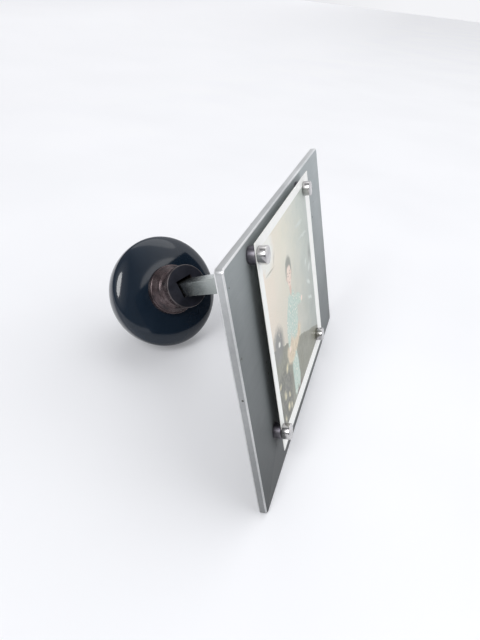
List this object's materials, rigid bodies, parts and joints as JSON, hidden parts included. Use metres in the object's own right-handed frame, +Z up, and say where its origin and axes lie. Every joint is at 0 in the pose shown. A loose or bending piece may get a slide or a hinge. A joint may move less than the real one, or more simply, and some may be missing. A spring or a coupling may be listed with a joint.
{
  "type": "magnetic photo holder",
  "caption": "Desk photo holder: a steel plate propped back on a round door knob and square spindle, with magnet pairs that hold a square print clear of the plate.",
  "frame": {"origin": "on the desk, in the middle of the object's bounding box seen from above", "axes": "+X across the plate to its right as seen from the front, +Y from the print back towards the knob, +Z up"},
  "size_m": [0.1524, 0.1136, 0.0993],
  "materials": {
    "raw_steel": "satin mill finish with fine rolling marks and small pits",
    "spindle_steel": "worn drawn bar, grey-green",
    "weld_metal": "rippled weld, heat-tinted",
    "black_glaze": "deep gloss, blue-black",
    "rusty_iron": "brown oxide with bare worn edges",
    "cast_metal": "dull grey casting",
    "screw_steel": "dark slotted screw",
    "photo_paper": "semi-gloss picture with a white border",
    "nickel_plate": "bright nickel plate"
  },
  "bodies": {
    "stand": {"plate": "raw_steel", "spindle": "spindle_steel", "weld_bead": "weld_metal", "knob_head": "black_glaze", "knob_shank": "rusty_iron", "cast_anchor": "cast_metal", "set_screw": "screw_steel"},
    "print": {"print": "photo_paper"},
    "back_magnet_top_left": {"back_magnet_top_left": "nickel_plate"},
    "back_magnet_top_right": {"back_magnet_top_right": "nickel_plate"},
    "back_magnet_low_left": {"back_magnet_low_left": "nickel_plate"},
    "back_magnet_low_right": {"back_magnet_low_right": "nickel_plate"},
    "front_magnet_top_left": {"front_magnet_top_left": "nickel_plate"},
    "front_magnet_top_right": {"front_magnet_top_right": "nickel_plate"},
    "front_magnet_low_left": {"front_magnet_low_left": "nickel_plate"},
    "front_magnet_low_right": {"front_magnet_low_right": "nickel_plate"}
  },
  "joints": [
    {"name": "print_slide", "type": "slide", "parent": "stand", "child": "print", "axis": [0, 0.2588, 0.9659], "range_m": [-0.01, 0.09]},
    {"name": "back_magnet_top_left_slide", "type": "slide", "parent": "stand", "child": "back_magnet_top_left", "axis": [1, 0, 0], "range_m": [-0.015, 0.03]},
    {"name": "back_magnet_top_right_slide", "type": "slide", "parent": "stand", "child": "back_magnet_top_right", "axis": [1, 0, 0], "range_m": [-0.03, 0.04]},
    {"name": "back_magnet_low_left_slide", "type": "slide", "parent": "stand", "child": "back_magnet_low_left", "axis": [1, 0, 0], "range_m": [-0.015, 0.03]},
    {"name": "back_magnet_low_right_slide", "type": "slide", "parent": "stand", "child": "back_magnet_low_right", "axis": [1, 0, 0], "range_m": [-0.03, 0.04]},
    {"name": "front_magnet_top_left_lift", "type": "slide", "parent": "back_magnet_top_left", "child": "front_magnet_top_left", "axis": [0, -0.9659, 0.2588], "range_m": [0, 0.02]},
    {"name": "front_magnet_top_right_lift", "type": "slide", "parent": "back_magnet_top_right", "child": "front_magnet_top_right", "axis": [0, -0.9659, 0.2588], "range_m": [0, 0.02]},
    {"name": "front_magnet_low_left_lift", "type": "slide", "parent": "back_magnet_low_left", "child": "front_magnet_low_left", "axis": [0, -0.9659, 0.2588], "range_m": [0, 0.02]},
    {"name": "front_magnet_low_right_lift", "type": "slide", "parent": "back_magnet_low_right", "child": "front_magnet_low_right", "axis": [0, -0.9659, 0.2588], "range_m": [0, 0.02]}
  ]
}
